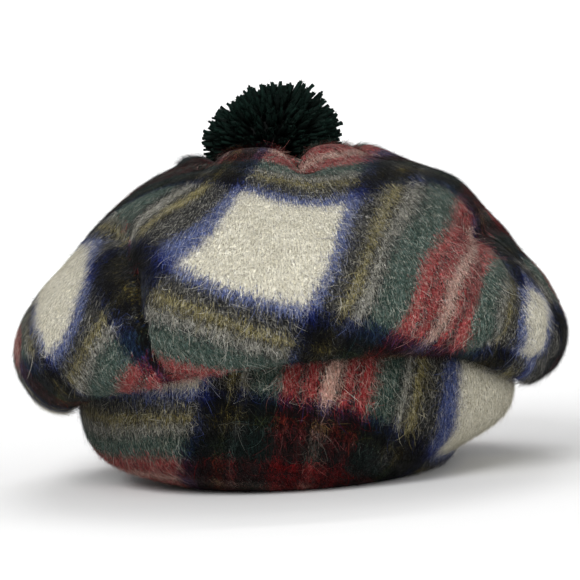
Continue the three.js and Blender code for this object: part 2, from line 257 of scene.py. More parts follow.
def crown_surface(turn, level):
    """The crown's outside, with its folds and fine ripples sunk into it."""
    base = crown_base(turn, level)
    sunk = np.zeros(base.shape[:-1])
    for row in CROWN_FOLDS:
        fold = dict(zip(FOLD_COLUMNS, row[1:]))
        gap = np.full(sunk.shape, 1e9)
        for mark in fold_line(fold["path"]):
            gap = np.minimum(gap, np.linalg.norm(base - mark, axis=-1))
        sunk += fold["depth"] * np.exp(-((gap / fold["half"]) ** fold["power"]))
    sunk *= smooth(*FOLD_STARTS, level) * (1 - smooth(*FOLD_ENDS, level))
    x, y, z = np.moveaxis(base, -1, 0)
    ripple = np.sin(x / 9.1 + 2 * np.sin(y / 23)) * np.sin(y / 8.3 + z / 11)
    ripple += np.sin(z / 6.7 - x / 14 + y / 17)
    sunk += RIPPLE_DEEP * ripple * smooth(*FOLD_STARTS, level) * (1 - smooth(*RIPPLE_ENDS, level))
    return base - crown_normal(turn, level) * sunk[..., None]


# How the crown's cloth lies: across and along are millimetres on the flat cloth, counted from
# the middle of the white check at the front. The circle of cloth is laid out from the
# pompom; a mark is a turn, a level and the millimetre that lies there on the slumped front.
LAY_TURN = math.radians(25)
LAY_MIDDLE = (-9.7, 145.3)
LAY_REACH = 50.0
LAY_EASE = 0.004
ACROSS_MARKS = [
    (-13, 13.7, -37), (19, 13.3, 37), (3, 9.8, 37), (-23, 11.6, -37), (5, 6.5, 55.5), (51, 14.5, 55.5),
    (-22, 14.5, -55.5), (35, 13.5, 55.5), (11, 9.7, 55.5), (35, 10.6, 100), (26, 6.4, 95), (58, 11, 144.5),
    (61, 10.6, 163), (57, 6.2, 163), (-71, 12.6, -163), (-39, 12.6, -55.5), (-35, 13.5, -55.5),
    (-70, 13.5, -74), (-60, 13.7, -74), (-55, 14.2, -74), (-49, 15.1, -74), (-84, 13, -144.5),
    (-48, 11.2, -163), (-44, 11.6, -140), (-40, 10.7, -160), (-34, 7.5, -160), (1, 11.9, 12),
    (-29, 11.6, -40), (-30, 10.4, -34), (-28, 9.2, -30), (-26, 7.6, -28), (-24, 6.5, -26),
    (56, 9, 163),
]
ALONG_MARKS = [
    (-13, 13.7, -37), (19, 13.3, -37), (3, 9.8, 37), (-23, 11.6, 37), (5, 6.5, 55.5), (51, 14.5, -55.5),
    (-22, 14.5, -55.5), (26, 6.4, 40), (50, 6.1, 40), (29, 14, -40), (64, 14, -40),
    (-48, 11.2, 37), (-34, 12, 40), (-65, 12.8, 12), (60, 5.4, 52),
    (-53, 9.2, 37), (-44, 11.6, 64), (-38, 8.1, 74), (-33, 5.3, 88), (-29, 7.3, 80), (-21, 6.7, 82),
    (-13, 5.7, 80), (-29, 9.8, 65), (-21, 8.95, 66), (-15, 8, 66), (-9, 6.6, 68),
    (-18, 15.4, -95), (33, 15.2, -95), (48, 15.3, -95), (18, 14.9, -92), (31, 14.4, -78), (-3, 14.6, -62),
    (62, 10.7, -37), (60, 6.5, 37), (78, 9.6, -64), (80, 12.4, -74), (-57, 7.6, 50), (-57, 5.5, 60),
    (-43, 5.7, 82), (-62, 9, 38),
]
TUCK_COLUMNS = ("turn", "level", "taken")
TUCKS = [
    (-27, 4.2, 125), (-30, 5.4, 125), (-31, 7.4, 125), (-31.5, 9.5, 118), (-35.5, 10.9, 103), (-39, 11.7, 90),
    (-52, 12.7, 80), (-62, 13.2, 66), (-80, 13.4, 60), (-92, 14.6, 0),
]
RIGHT_TUCKS = [(61, 4.2, 60), (61, 6.5, 60), (61.5, 8.5, 60), (63, 10.3, 56), (66, 12.6, 0)]
TUCK_EDGE = 0.7
TUCK_FADES = (90, 150)
TORN_STRETCH, TORN_SLACK = 3, 3
FALL_MOST = 1.2
SETT = 200.0
RUN_STEP = 2.0
RUN_PARTS = 400

run_turns = np.arange(-180, 181, RUN_STEP)
run_levels = np.linspace(0, last, RUN_PARTS + 1)
walk = crown_base(run_turns[:, None], run_levels[None])
walked = np.linalg.norm(np.diff(walk, axis=1), axis=2)
from_middle = np.cumsum(walked[:, ::-1], axis=1)[:, ::-1]
run_table = np.concatenate([from_middle, np.zeros((len(run_turns), 1))], axis=1)


def crown_lay(turn, level, eased=True):
    """The place on the flat cloth that lies here, past the cloth that the tucks have taken up."""
    turned = turn_gap(turn, 0)
    i = np.clip(((turned + 180) / RUN_STEP).astype(int), 0, len(run_turns) - 2)
    f = (turned - run_turns[i]) / RUN_STEP
    place = level / last * RUN_PARTS
    j = np.clip(place.astype(int), 0, RUN_PARTS - 1)
    g = place - j
    near = (1 - g) * run_table[i, j] + g * run_table[i, j + 1]
    far = (1 - g) * run_table[i + 1, j] + g * run_table[i + 1, j + 1]
    run = (1 - f) * near + f * far
    x = run * np.sin(np.radians(turned)) - LAY_MIDDLE[0]
    y = run * np.cos(np.radians(turned)) - LAY_MIDDLE[1]
    across = math.cos(LAY_TURN) * x + math.sin(LAY_TURN) * y
    down = -math.sin(LAY_TURN) * x + math.cos(LAY_TURN) * y
    point = crown_base(turn, level)
    out = np.hypot(*point[..., :2].T).T
    start, end = TUCK_FADES
    left_fade, right_fade = smooth(-end, -start, turned), 1 - smooth(start, end, turned)
    for rows, side, fade in ((TUCKS, -1, left_fade), (RIGHT_TUCKS, 1, right_fade)):
        tuck = dict(zip(TUCK_COLUMNS, np.array(rows).T))
        past = np.radians(turned - np.interp(level, tuck["level"], tuck["turn"])) * out
        taken = np.interp(level, tuck["level"], tuck["taken"]) * fade
        across = across + side * taken / (1 + np.exp(np.clip(-side * past / TUCK_EDGE, -40, 40)))
    if eased:
        across = across + ease(point, *across_ease)
        down = down + ease(point, *along_ease)
    return across, down


def ease(point, centres, weights):
    """A push of the cloth that fades out round each mark."""
    moved = np.zeros(point.shape[:-1])
    for centre, weight in zip(centres, weights):
        moved += weight * np.exp(-np.sum((point - centre) ** 2, axis=-1) / (2 * LAY_REACH**2))
    return moved


def fit_marks(marks, which):
    """The marks' places, and the pushes that bring the cloth nearly onto them."""
    turn, level, want = np.array(marks, float).T
    centres = crown_base(turn, level)
    short = want - crown_lay(turn, level, eased=False)[which]
    near = np.exp(-np.sum((centres[:, None] - centres[None]) ** 2, axis=-1) / (2 * LAY_REACH**2))
    return centres, np.linalg.solve(near + LAY_EASE * np.eye(len(centres)), short)


across_ease = fit_marks(ACROSS_MARKS, 0)
along_ease = fit_marks(ALONG_MARKS, 1)


def torn_cells(points, lay):
    """The grid's cells that the tuck runs through, where the cloth jumps from one thread to another."""
    torn = np.zeros(np.array(lay.shape[:2]) - 1, bool)
    for r, c in ((0, 1), (1, 0), (1, 1)):
        there = slice(r, len(lay) - 1 + r), slice(c, lay.shape[1] - 1 + c)
        apart = np.linalg.norm(lay[there] - lay[:-1, :-1], axis=-1)
        run = np.linalg.norm(points[there] - points[:-1, :-1], axis=-1)
        torn |= apart > TORN_STRETCH * run + TORN_SLACK
    return torn


def grid_piece(name, points, lay, grain, painted_shade, thick):
    """A primitive grid shaped to rows of points and given its thickness. Its maps are the cloth's
    place, the way that the cloth runs down the hat, and the hat's own round and height."""
    rows, columns = points.shape[0] - 1, points.shape[1] - 1
    bpy.ops.object.select_all(action="DESELECT")
    bpy.ops.mesh.primitive_grid_add(x_subdivisions=columns, y_subdivisions=rows, size=1)
    piece = bpy.context.object
    piece.name = name
    mesh = piece.data
    mesh.name = name
    flat = np.empty(len(mesh.vertices) * 3)
    mesh.vertices.foreach_get("co", flat)
    flat = flat.reshape(-1, 3)
    column = np.rint((flat[:, 0] + 0.5) * columns).astype(int)
    row = np.rint((flat[:, 1] + 0.5) * rows).astype(int)
    mesh.vertices.foreach_set("co", ((points[row, column] + RIM_MIDDLE) / 1000).ravel())
    corner = np.empty(len(mesh.loops), int)
    mesh.loops.foreach_get("vertex_index", corner)
    rise = np.linalg.norm(np.gradient(points, axis=0), axis=-1, keepdims=True)
    before = np.diff(lay, axis=0, prepend=2 * lay[:1] - lay[1:2])
    after = np.diff(lay, axis=0, append=2 * lay[-1:] - lay[-2:-1])
    nearer = np.linalg.norm(before, axis=-1, keepdims=True) < np.linalg.norm(after, axis=-1, keepdims=True)
    fall = np.clip(np.where(nearer, before, after) / np.maximum(rise, 0.1), -FALL_MOST, FALL_MOST)
    mesh.uv_layers[0].name = "cloth"
    mesh.uv_layers.new(name="fall")
    mesh.uv_layers.new(name="grain")
    low = row[corner].reshape(-1, 4).min(axis=1), column[corner].reshape(-1, 4).min(axis=1)
    torn = np.repeat(torn_cells(points, lay)[low], 4)[:, None]
    cloth = np.where(torn, np.repeat(lay[low], 4, axis=0), lay[row, column][corner])
    maps = {
        "cloth": cloth / SETT,
        "fall": fall[row, column][corner],
        "grain": grain[row, column][corner] / SETT,
    }
    for key, values in maps.items():
        mesh.uv_layers[key].data.foreach_set("uv", values.ravel())
    mesh.uv_layers.active = mesh.uv_layers["cloth"]
    # A painted-shade factor for each point, which darkens the cloth's colour; it is 1 where there is none.
    mesh.attributes.new("painted_shade", "FLOAT", "POINT").data.foreach_set("value", painted_shade[row, column])
    mesh.update()
    bpy.ops.object.mode_set(mode="EDIT")
    bpy.ops.mesh.select_all(action="SELECT")
    bpy.ops.mesh.remove_doubles(threshold=1e-5)
    bpy.ops.object.mode_set(mode="OBJECT")
    wall = piece.modifiers.new("wall", "SOLIDIFY")
    wall.thickness = thick / 1000
    wall.offset = -1
    bpy.ops.object.modifier_apply(modifier="wall")
    bpy.ops.object.shade_smooth()
    return piece


part = np.linspace(0, 1, CROWN_GRID["turns"] + 1)
crown_turns = 360 * (part + CROWN_GRID["crowd"] * np.sin(2 * np.pi * part) / (2 * np.pi)) - 180
run_mean = np.concatenate([[0], np.cumsum(spans)])
crown_levels = np.interp(np.linspace(0, run_mean[-1], CROWN_GRID["rows"] + 1), run_mean, np.arange(last + 1))
grid_turn, grid_level = np.meshgrid(crown_turns, crown_levels)
crown_points = crown_surface(grid_turn, grid_level)
crown_points[-1] = crown_points[-1, 0]
crown_points[:, -1] = crown_points[:, 0]
crown_map = np.stack(crown_lay(grid_turn, grid_level), -1)
crown_runs = np.interp(grid_level, np.arange(last + 1), run_mean)
crown_grain = np.stack([np.radians(grid_turn) * CROWN_ROUND, crown_runs], -1)
# Painted shade: the crown's colour is darkened near the slit of the left crease, standing in for the shadow
# at the crease's bottom.
crease_gap = np.full(grid_turn.shape, 1e9)
for mark in fold_line(SLIT_PATH):
    crease_gap = np.minimum(crease_gap, np.linalg.norm(crown_base(grid_turn, grid_level) - mark, axis=-1))
crown_painted_shade = 1 - CREASE_PAINTED_SHADE * np.exp(-((crease_gap / CREASE_PAINTED_SHADE_HALF) ** 2))
crown = grid_piece("crown_cloth", crown_points, crown_map, crown_grain, crown_painted_shade, CLOTH)

# Threads of the tartan from the middle of the white check to the pivot: width in millimetres
# and colour. The sett is mirrored there, and is the same in both directions.
WHITE, LINE = (0.68, 0.65, 0.545), (0.17, 0.17, 0.15)
BLUE, BLACK = (0.011, 0.02, 0.12), (0.0014, 0.0015, 0.0018)
GREEN, YELLOW = (0.0042, 0.0122, 0.0102), (0.1, 0.078, 0.016)
RED, PINK = (0.19, 0.0052, 0.0066), (0.46, 0.21, 0.175)
THREADS = [
    (37, WHITE), (6.5, BLUE), (11.5, BLACK), (2.6, YELLOW), (4.2, BLACK), (2.2, LINE), (3.5, BLACK),
    (14.5, GREEN), (5, RED), (3.8, BLACK), (3.6, RED), (3, BLACK), (2.6, PINK),
]
THREAD_EDGE, EDGE_SHARE = 1.2, 0.25
PULL_STRAND, DEPTH_STRAND, RUT_STRAND = (0.9, 7, 0), (1.1, 8, 53), (0.9, 2.6, 13)
WARP_STRAND, WEFT_STRAND = (0.7, 3.5, 37), (0.7, 3.5, 71)
PULL_UP, PULL_DOWN = -4, 7
FUZZ = [(800, 0.012), (170, 0.009)]
HAIR_SHARE = 0.45
DEPTH_MOST, DEPTH_LEAST = 1.3, 0.74

tartan = bpy.data.node_groups.new("tartan", "ShaderNodeTree")
tartan.interface.new_socket("Map", in_out="INPUT", socket_type="NodeSocketVector")
for socket in ("Cloth", "Warp", "Weft"):
    tartan.interface.new_socket(socket, in_out="OUTPUT", socket_type="NodeSocketColor")
group_in = tartan.nodes.new("NodeGroupInput")
group_out = tartan.nodes.new("NodeGroupOutput")
split = tartan.nodes.new("ShaderNodeSeparateXYZ")
tartan.links.new(group_in.outputs["Map"], split.inputs["Vector"])
crossing = tartan.nodes.new("ShaderNodeMix")
crossing.data_type = "RGBA"
crossing.blend_type = "MULTIPLY"
crossing.inputs["Factor"].default_value = 1
for axis, socket, entry in (("X", "Warp", 6), ("Y", "Weft", 7)):
    mirror = tartan.nodes.new("ShaderNodeMath")
    mirror.operation = "PINGPONG"
    mirror.inputs[1].default_value = 0.5
    tartan.links.new(split.outputs[axis], mirror.inputs[0])
    double = tartan.nodes.new("ShaderNodeMath")
    double.operation = "MULTIPLY"
    double.inputs[1].default_value = 2
    tartan.links.new(mirror.outputs[0], double.inputs[0])
    ramp = tartan.nodes.new("ShaderNodeValToRGB")
    ramp.color_ramp.elements.remove(ramp.color_ramp.elements[1])
    ramp.color_ramp.elements[0].position = 0
    ramp.color_ramp.elements[0].color = (*THREADS[0][1], 1)
    reached = 0
    for (width, colour), (width_next, colour_next) in zip(THREADS, THREADS[1:]):
        reached += width
        edge = min(THREAD_EDGE, EDGE_SHARE * width, EDGE_SHARE * width_next)
        for place, shade in ((reached - edge, colour), (reached + edge, colour_next)):
            ramp.color_ramp.elements.new(place * 2 / SETT).color = (*shade, 1)
    tartan.links.new(double.outputs[0], ramp.inputs[0])
    tartan.links.new(ramp.outputs[0], group_out.inputs[socket])
    tartan.links.new(ramp.outputs[0], crossing.inputs[entry])
mean = tartan.nodes.new("ShaderNodeGamma")
mean.inputs["Gamma"].default_value = 0.5
tartan.links.new(crossing.outputs[2], mean.inputs["Color"])
tartan.links.new(mean.outputs[0], group_out.inputs["Cloth"])


def node(tree, kind, **values):
    made = tree.nodes.new(kind)
    for key, value in values.items():
        setattr(made, key, value)
    return made


def link_math(tree, operation, first, second):
    made = node(tree, "ShaderNodeMath", operation=operation)
    for entry, value in enumerate((first, second)):
        if isinstance(value, (int, float)):
            made.inputs[entry].default_value = value
        else:
            tree.links.new(value, made.inputs[entry])
    return made.outputs[0]


def remap(tree, value, low, high, new_low, new_high):
    made = node(tree, "ShaderNodeMapRange")
    for entry, number in zip(("From Min", "From Max", "To Min", "To Max"), (low, high, new_low, new_high)):
        made.inputs[entry].default_value = number
    tree.links.new(value, made.inputs["Value"])
    return made.outputs[0]


def mixed(tree, kind, factor, first, second):
    made = node(tree, "ShaderNodeMix", data_type="RGBA", blend_type=kind)
    for entry, value in (("Factor", factor), (6, first), (7, second)):
        if isinstance(value, (int, float)):
            made.inputs[entry].default_value = value
        else:
            tree.links.new(value, made.inputs[entry])
    return made.outputs[2]


def streaks(tree, grain, size):
    """Noise drawn out down the hat, in strands of the given size in millimetres."""
    wide, long, offset = size
    strand = node(tree, "ShaderNodeVectorMath", operation="MULTIPLY_ADD")
    strand.inputs[1].default_value = (SETT / wide, SETT / long, 0)
    strand.inputs[2].default_value = (offset, offset, 0)
    tree.links.new(grain, strand.inputs[0])
    noise = node(tree, "ShaderNodeTexNoise", noise_dimensions="2D")
    noise.inputs["Scale"].default_value = 1
    noise.inputs["Detail"].default_value = 2
    tree.links.new(strand.outputs[0], noise.inputs["Vector"])
    return noise.outputs["Fac"]


def deepened(tree, colour, deep):
    """Darkens the dark threads and leaves the white ones nearly as they are."""
    made = node(tree, "ShaderNodeGamma")
    tree.links.new(deep, made.inputs["Gamma"])
    tree.links.new(colour, made.inputs["Color"])
    return made.outputs[0]


def cloth_material(name, deep):
    """Brushed cloth: the tartan, with its threads' edges drawn down the hat by the raised nap."""
    material = bpy.data.materials.new(name)
    material.use_nodes = True
    tree = material.node_tree
    shader = tree.nodes["Principled BSDF"]
    own = node(tree, "ShaderNodeUVMap", uv_map="cloth").outputs["UV"]
    grain = node(tree, "ShaderNodeUVMap", uv_map="grain").outputs["UV"]
    fall = node(tree, "ShaderNodeUVMap", uv_map="fall").outputs["UV"]
    place = node(tree, "ShaderNodeTexCoord").outputs["Object"]
    pulled = node(tree, "ShaderNodeVectorMath", operation="SCALE")
    tree.links.new(fall, pulled.inputs[0])
    drawn = remap(tree, streaks(tree, grain, PULL_STRAND), 0.3, 0.7, PULL_UP / SETT, PULL_DOWN / SETT)
    tree.links.new(drawn, pulled.inputs["Scale"])
    laid = node(tree, "ShaderNodeVectorMath", operation="ADD")
    tree.links.new(own, laid.inputs[0])
    tree.links.new(pulled.outputs[0], laid.inputs[1])
    moved = laid.outputs[0]
    for scale, far in FUZZ:
        fuzz = node(tree, "ShaderNodeTexNoise")
        fuzz.inputs["Scale"].default_value = scale
        fuzz.inputs["Detail"].default_value = 2
        tree.links.new(place, fuzz.inputs["Vector"])
        centred = node(tree, "ShaderNodeVectorMath", operation="SUBTRACT")
        centred.inputs[1].default_value = (0.5, 0.5, 0.5)
        tree.links.new(fuzz.outputs["Color"], centred.inputs[0])
        added = node(tree, "ShaderNodeVectorMath", operation="MULTIPLY_ADD")
        added.inputs[1].default_value = (far, far, 0)
        tree.links.new(centred.outputs[0], added.inputs[0])
        tree.links.new(moved, added.inputs[2])
        moved = added.outputs[0]
    threads = node(tree, "ShaderNodeGroup", node_tree=tartan)
    tree.links.new(moved, threads.inputs["Map"])
    warp_hair = remap(tree, streaks(tree, grain, WARP_STRAND), 0.52, 0.72, 0, HAIR_SHARE)
    weft_hair = remap(tree, streaks(tree, grain, WEFT_STRAND), 0.52, 0.72, 0, HAIR_SHARE)
    colour = mixed(tree, "MIX", warp_hair, threads.outputs["Cloth"], threads.outputs["Warp"])
    strand = streaks(tree, grain, DEPTH_STRAND)
    depth = remap(tree, strand, 0.33, 0.67, DEPTH_MOST * deep, DEPTH_LEAST * deep)
    colour = deepened(tree, mixed(tree, "MIX", weft_hair, colour, threads.outputs["Weft"]), depth)
    # The specks and rut streaks vary the cloth's brightness: partly the wool's own uneven tone, partly
    # painted shade in the grain and between the nap's locks.
    speck = node(tree, "ShaderNodeTexNoise")
    speck.inputs["Scale"].default_value = 900
    speck.inputs["Detail"].default_value = 3
    tree.links.new(place, speck.inputs["Vector"])
    shade = remap(tree, speck.outputs["Fac"], 0.3, 0.7, 0.55, 1.3)
    ruts = remap(tree, streaks(tree, grain, RUT_STRAND), 0.35, 0.62, 0.42, 1.15)
    shade = link_math(tree, "MULTIPLY", shade, ruts)
    # The mesh's painted shade, such as the shadow along the crown's crease, darkens the colour.
    painted_shade = node(tree, "ShaderNodeAttribute", attribute_name="painted_shade")
    shade = link_math(tree, "MULTIPLY", shade, painted_shade.outputs["Fac"])
    tree.links.new(mixed(tree, "MULTIPLY", 1, colour, shade), shader.inputs["Base Color"])
    bump = node(tree, "ShaderNodeBump")
    bump.inputs["Strength"].default_value = 0.6
    bump.inputs["Distance"].default_value = 0.0014
    tree.links.new(speck.outputs["Fac"], bump.inputs["Height"])
    tree.links.new(bump.outputs[0], shader.inputs["Normal"])
    shader.inputs["Roughness"].default_value = 0.95
    shader.inputs["Specular IOR Level"].default_value = 0.08
    shader.inputs["Sheen Weight"].default_value = 0.05
    shader.inputs["Sheen Roughness"].default_value = 0.6
    return material


crown.data.materials.append(cloth_material("crown_cloth", deep=1.06))
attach(crown, "root")
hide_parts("crown")

# The crown's nap: the wool fibres that were brushed up out of the cloth. They lie mostly
# down the hat in loose locks, and take their colour from the thread that they grow from.
NAP_COLUMNS = ("count", "length", "wide", "lift", "spread", "steps")
CROWN_NAP = [
    ("crown_nap_left", -100, 0, (52000, 7.5, 0.15, 0.6, 34, 2)),
    ("crown_nap_right", 0, 100, (52000, 7.5, 0.15, 0.6, 34, 2)),
    ("crown_nap_back", 100, 260, (28000, 7.0, 0.22, 0.5, 36, 2)),
    ("crown_hairs", -180, 180, (9000, 13.0, 0.11, 1.0, 50, 5)),
]
NAP_FROM, NAP_TO = 3.6, 16.8
SLIT_BARE = 2.4
SLIT_DEEP = 6.0
SLIT_CLEAR = 2.3
LOCK_TURN = 18.0
CURL = 0.76
ROOT_DEEP = 0.2
FLOOR_CLEAR = 0.2


def strands_mesh(name, verts, faces, lay, pick):
    """A joined mesh of ribbons; every corner carries the cloth place of its root."""
    corner = np.concatenate([face.ravel() for face in faces])
    sides = np.concatenate([np.full(len(face), face.shape[1]) for face in faces])
    mesh = bpy.data.meshes.new(name)
    mesh.vertices.add(len(verts))
    mesh.vertices.foreach_set("co", verts.ravel())
    mesh.loops.add(len(corner))
    mesh.loops.foreach_set("vertex_index", corner)
    mesh.polygons.add(len(sides))
    mesh.polygons.foreach_set("loop_start", np.cumsum(sides) - sides)
    mesh.update(calc_edges=True)
    mesh.uv_layers.new(name="cloth").data.foreach_set("uv", lay[corner].ravel())
    mesh.attributes.new("pick", "FLOAT", "POINT").data.foreach_set("value", pick)
    mesh.polygons.foreach_set("use_smooth", np.ones(len(sides), bool))
    piece = bpy.data.objects.new(name, mesh)
    bpy.context.collection.objects.link(piece)
    return piece


def nap(name, points, lay, chosen, slit, count, length, wide, lift, spread, steps, seed):
    """Fibres on the outside of a grid of points, over the cells that are chosen; none bridges the slit."""
    rng = np.random.default_rng(seed)
    across = points[:-1, 1:] - points[:-1, :-1]
    rise = points[1:, :-1] - points[:-1, :-1]
    size = np.linalg.norm(np.cross(across, rise), axis=-1) * chosen
    cell = rng.choice(size.size, count, p=(size / size.sum()).ravel())
    r, c = np.unravel_index(cell, size.shape)
    u, v = rng.random((2, count, 1))

    def inside(grid):
        low = grid[r, c] * (1 - u) + grid[r, c + 1] * u
        high = grid[r + 1, c] * (1 - u) + grid[r + 1, c + 1] * u
        return low * (1 - v) + high * v

    root = inside(points)
    place = np.where(torn_cells(points, lay)[r, c][:, None], lay[r, c], inside(lay)) / SETT
    side = across[r, c] / np.maximum(np.linalg.norm(across[r, c], axis=1, keepdims=True), 1e-6)
    out = np.cross(across[r, c], rise[r, c])
    out /= np.maximum(np.linalg.norm(out, axis=1, keepdims=True), 1e-9)
    down = np.cross(side, out)
    lock = np.sin(root[:, 0] / 11 + 2 * np.sin(root[:, 2] / 13)) + np.sin(root[:, 2] / 8 - root[:, 1] / 15)
    angle = np.radians(LOCK_TURN * lock + rng.normal(0, spread, count))[:, None]
    way = np.cos(angle) * down + np.sin(angle) * side
    bow = np.cross(out, way)
    long = (length * rng.uniform(0.4, 1.3, count))[:, None]
    high = (lift * rng.gamma(2.0, 0.5, count))[:, None]
    curl, swerve = rng.normal(0, CURL / steps, (2, count, 1))
    line = []
    for s in np.linspace(0, 1, steps + 1):
        aside = 4 * curl * s * (1 - s) + 0.6 * swerve * s * s
        above = high * (1.8 * s - 0.8 * s * s) - ROOT_DEEP * (1 - s)
        line.append(root + long * (way * s + bow * aside) + out * above)
    line = np.stack(line, 1)
    clear = np.ones(count, bool)
    for mark in slit:
        clear &= np.linalg.norm(line[:, 1:] - mark, axis=-1).min(axis=1) > SLIT_CLEAR
    line, bow, out, place = line[clear], bow[clear], out[clear], place[clear]
    count = len(line)
    roll = rng.uniform(-0.25, 0.25, (count, 1))
    half = wide / 2 * (np.cos(roll) * bow + np.sin(roll) * out)[:, None]
    sides = np.stack([line[:, :-1] - half, line[:, :-1] + half], 2).reshape(count, -1, 3)
    each = 2 * steps + 1
    verts = np.concatenate([sides, line[:, -1:]], 1).reshape(-1, 3)
    verts[:, 2] = np.maximum(verts[:, 2], FLOOR_CLEAR)
    first = np.arange(count)[:, None, None] * each
    rung = 2 * np.arange(steps - 1)[None, :, None]
    quads = (first + rung + np.array([1, 0, 2, 3])).reshape(-1, 4)
    tips = first[:, 0] + np.array([each - 2, each - 3, each - 1])
    pick = np.repeat(rng.random(count), each)
    cloth = np.repeat(place, each, axis=0)
    return strands_mesh(name, (verts + RIM_MIDDLE) / 1000, [quads, tips], cloth, pick)


def nap_material(name, deep, lean):
    """A fibre has the cloth's colour at its root, and some lean to one of the two threads there."""
    material = bpy.data.materials.new(name)
    material.use_nodes = True
    tree = material.node_tree
    shader = tree.nodes["Principled BSDF"]
    own = node(tree, "ShaderNodeUVMap", uv_map="cloth")
    threads = node(tree, "ShaderNodeGroup", node_tree=tartan)
    tree.links.new(own.outputs["UV"], threads.inputs["Map"])
    pick = node(tree, "ShaderNodeAttribute", attribute_name="pick").outputs["Fac"]
    which = link_math(tree, "GREATER_THAN", pick, 0.5)
    thread = mixed(tree, "MIX", which, threads.outputs["Warp"], threads.outputs["Weft"])
    second = link_math(tree, "FRACT", link_math(tree, "MULTIPLY", pick, 91.7), 0)
    third = link_math(tree, "FRACT", link_math(tree, "MULTIPLY", pick, 37.3), 0)
    blend = mixed(tree, "MIX", remap(tree, second, 0.5, 1, 0.0, lean), threads.outputs["Cloth"], thread)
    depth = remap(tree, third, 0, 1, 1.4 * deep, 0.68 * deep)
    tone = remap(tree, third, 0, 1, 0.6, 1.1)
    toned = mixed(tree, "MULTIPLY", 1, deepened(tree, blend, depth), tone)
    tree.links.new(toned, shader.inputs["Base Color"])
    shader.inputs["Roughness"].default_value = 0.9
    shader.inputs["Specular IOR Level"].default_value = 0.08
    return material


crown_fibre = nap_material("crown_nap", deep=1.06, lean=0.5)
crown_hair = nap_material("crown_hairs", deep=1.06, lean=0.8)
cell_turn = (grid_turn[:-1, :-1] + grid_turn[1:, 1:]) / 2
cell_level = (grid_level[:-1, :-1] + grid_level[1:, 1:]) / 2
slit = fold_line(SLIT_PATH, samples=6, deep=SLIT_DEEP)
for number, (name, turn_from, turn_to, sizes) in enumerate(CROWN_NAP):
    middle_turn, half_turn = (turn_from + turn_to) / 2, (turn_to - turn_from) / 2
    chosen = np.abs(turn_gap(cell_turn, middle_turn)) < half_turn
    chosen &= (cell_level > NAP_FROM) & (cell_level < NAP_TO)
    chosen &= crease_gap[1:, 1:] > SLIT_BARE
    piece = nap(name, crown_points, crown_map, chosen, slit, **dict(zip(NAP_COLUMNS, sizes)), seed=number + 1)
    piece.data.materials.append(crown_hair if name == "crown_hairs" else crown_fibre)
    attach(piece, "root")

# The under-crown: a curved ring of the same cloth, sewn to the crown's gathered edge at its
# top and turned in at the head opening, where its flat hem carries the hat. Its ends are
# sewn together at the back.
UNDER_SECTIONS = [
    (0, 72, 88), (4, 84, 98), (11, 98.5, 109.5), (19, 109.5, 117), (28, 116, 121.4), (40, 119, 124),
    (55, 118.2, 123), (69, 115.4, 120.4), (82, 110.5, 115.5),
]
DENT_COLUMNS = ("turn", "height", "half_turn", "half_height", "depth")
UNDER_DENTS = [
    (-72, 11, 30, 13, -3.5), (-58, 30, 15, 20, 2.6), (8, 40, 18, 22, 2), (52, 26, 13, 18, 2.4),
    (74, 9, 38, 13, 10), (128, 32, 17, 20, 3), (-150, 34, 18, 22, 2.6),
]
DENT_STARTS, DENT_ENDS = (0, 12), (45, 60)
UNDER_GRID = {"turns": 220, "rows": 38}
UNDER_ROUND = 121.5
UNDER_REACH = 45.0
UNDER_EASE = 0.02
UNDER_ACROSS = [
    (-23, 60, 40), (-27, 37, 40), (-40, 11, 40), (-17, 63.5, 55.5), (-19, 42, 55.5), (9, 61.5, 100),
    (5, 37, 100), (1, 7, 100), (33, 60, 144.5), (29, 29.5, 144.5), (44, 57.5, 160), (45, 12.5, 160),
    (42, 34.5, 160), (16, 58, 112), (-1, 58, 86), (80, 33.5, 200),
]
UNDER_ALONG = [
    (-23, 58.5, 40), (1, 50, 40), (12, 46, 40), (26, 33, 40), (50, 11.5, 42), (-58, 12.5, 100),
    (-27, 8.5, 100), (-1, 6, 96), (-65, 26, 74), (-32, 29, 74), (-12, 31, 74), (-62, 43, 58),
    (-28, 46.5, 58), (-29, 62.5, 34), (54, 42, 5), (76, 18, 25), (24, 56.5, 5),
]

heights, widths, depths = np.array(UNDER_SECTIONS, float).T
under_run = np.concatenate([[0], np.cumsum(np.hypot(np.diff(heights), np.diff(widths + depths) / 2))])


def rounded(values, run):
    """A smooth curve through the under-crown's sections, by run up the cloth."""
    step = np.diff(values) / np.diff(under_run)
    gap = np.diff(under_run)
    middle = (step[:-1] * gap[1:] + step[1:] * gap[:-1]) / (gap[1:] + gap[:-1])
    tilt = np.concatenate([step[:1], middle, step[-1:]])
    i = np.clip(np.searchsorted(under_run, run, side="right") - 1, 0, len(gap) - 1)
    t = (run - under_run[i]) / gap[i]
    ends = (2 * t**3 - 3 * t**2 + 1) * values[i] + (3 * t**2 - 2 * t**3) * values[i + 1]
    return ends + gap[i] * ((t**3 - 2 * t**2 + t) * tilt[i] + (t**3 - t**2) * tilt[i + 1])


def under_surface(turn, run):
    """The ring's outside, with its soft dents."""
    high = rounded(heights, run)
    sunk = np.zeros(np.broadcast(turn, run).shape)
    for row in UNDER_DENTS:
        dent = dict(zip(DENT_COLUMNS, row))
        turned = turn_gap(turn, dent["turn"]) / dent["half_turn"]
        raised = (high - dent["height"]) / dent["half_height"]
        sunk = sunk + dent["depth"] * np.exp(-(turned**2) - raised**2)
    sunk = sunk * smooth(*DENT_STARTS, high) * (1 - smooth(*DENT_ENDS, high))
    x = (rounded(widths, run) - sunk) * np.sin(np.radians(turn))
    y = -(rounded(depths, run) - sunk) * np.cos(np.radians(turn))
    return np.stack([x, y, high + 0 * turn], -1)


